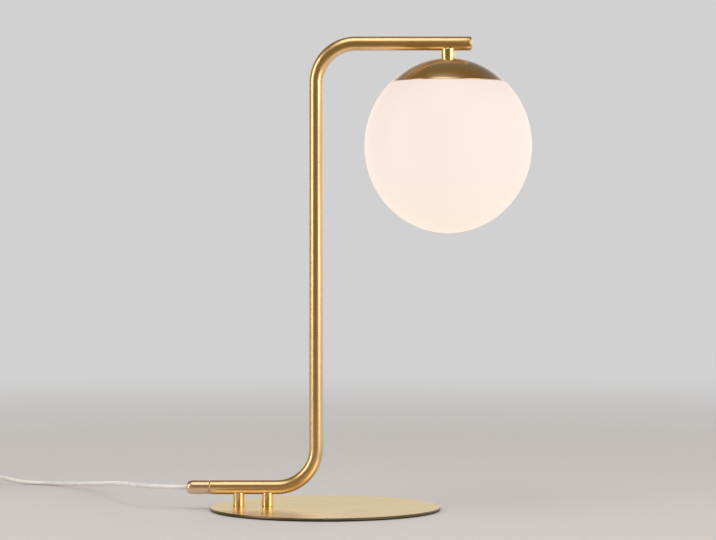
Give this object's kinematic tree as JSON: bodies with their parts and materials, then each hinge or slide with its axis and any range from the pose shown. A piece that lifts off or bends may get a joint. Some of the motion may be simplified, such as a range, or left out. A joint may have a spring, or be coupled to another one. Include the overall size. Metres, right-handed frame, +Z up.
{
  "type": "table lamp",
  "caption": "Table lamp with a bent brass tube on a round base, an opal glass globe under a dome cap, in-line switch and coiled mains lead.",
  "frame": {"origin": "centre of the base's underside, on the table", "axes": "+Z up, +X from the upright towards the globe, +Y towards the back, the way the lead runs"},
  "size_m": [0.6618, 0.3622, 0.4243],
  "materials": {
    "satin_brass": "satin lacquered brass",
    "polished_brass": "polished brass",
    "brushed_brass": "fine straight brushed, pale gold",
    "bronze_nose": "satin, a little pinker than the tube",
    "zinc_steel": "bright zinc plated",
    "spring_steel": "polished strip",
    "black_pad": "matt foam",
    "nylon": "natural nylon",
    "brown_core": "insulation",
    "blue_core": "insulation",
    "silicone": "translucent silicone",
    "ceramic": "unglazed",
    "contact_bronze": "spring bronze",
    "bulb_body": "smooth white",
    "bulb_clear": "clear",
    "light_stick": "phosphor coated",
    "opal_glass": "smooth opal, lit from inside",
    "pale_pvc": "pale translucent sheath",
    "white_plastic": "moulded white",
    "plug_metal": "nickelled"
  },
  "bodies": {
    "stand": {"base_pad": "black_pad", "base_plate": "brushed_brass", "outer_post": "polished_brass", "inner_post": "polished_brass", "base_screws": "zinc_steel", "tapped_bar": "zinc_steel", "lamp_tube": "satin_brass", "arm_end_plug": "satin_brass", "cord_gland": "bronze_nose", "cord_grip": "nylon", "live_core": "brown_core", "neutral_core": "blue_core", "hanger_stem": "polished_brass", "threaded_tube": "zinc_steel", "dome_cap": "satin_brass", "cap_spacer": "zinc_steel", "gallery": "zinc_steel", "globe_gasket": "silicone", "clip_rivets": "zinc_steel", "holder_bracket": "zinc_steel", "lock_washer": "zinc_steel", "clamp_nut": "zinc_steel", "lampholder": "ceramic", "live_contact": "contact_bronze", "neutral_contact": "contact_bronze", "holder_screws": "zinc_steel", "globe_clip_1": "spring_steel", "globe_clip_2": "spring_steel", "globe_clip_3": "spring_steel", "supply_lead": "pale_pvc", "link_lead": "pale_pvc", "lead_coil": "pale_pvc", "plug_lead": "pale_pvc", "cord_tie": "white_plastic", "switch_lower_shell": "white_plastic", "switch_upper_shell": "white_plastic", "switch_pivot": "zinc_steel", "switch_contacts": "contact_bronze", "switch_core": "blue_core", "switch_screws": "zinc_steel", "plug_boot": "white_plastic", "plug_body": "white_plastic", "plug_pins": "plug_metal"},
    "globe": {"glass_globe": "opal_glass"},
    "bulb": {"bulb_base": "bulb_body", "bulb_pins": "plug_metal", "bulb_glass": "bulb_clear", "bulb_core": "light_stick"},
    "rocker": {"switch_rocker": "white_plastic"}
  },
  "joints": [
    {"name": "globe_removal", "type": "slide", "parent": "stand", "child": "globe", "axis": [0, 0, -1], "range_m": [0, 0.11]},
    {"name": "bulb_pull", "type": "slide", "parent": "stand", "child": "bulb", "axis": [0, 0, -1], "range_m": [0, 0.012]},
    {"name": "rocker_tilt", "type": "hinge", "parent": "stand", "child": "rocker", "pos_m": [-0.378, 0.246, 0.0138], "axis": [0, 1, 0], "range_deg": [-16, 0]}
  ]
}
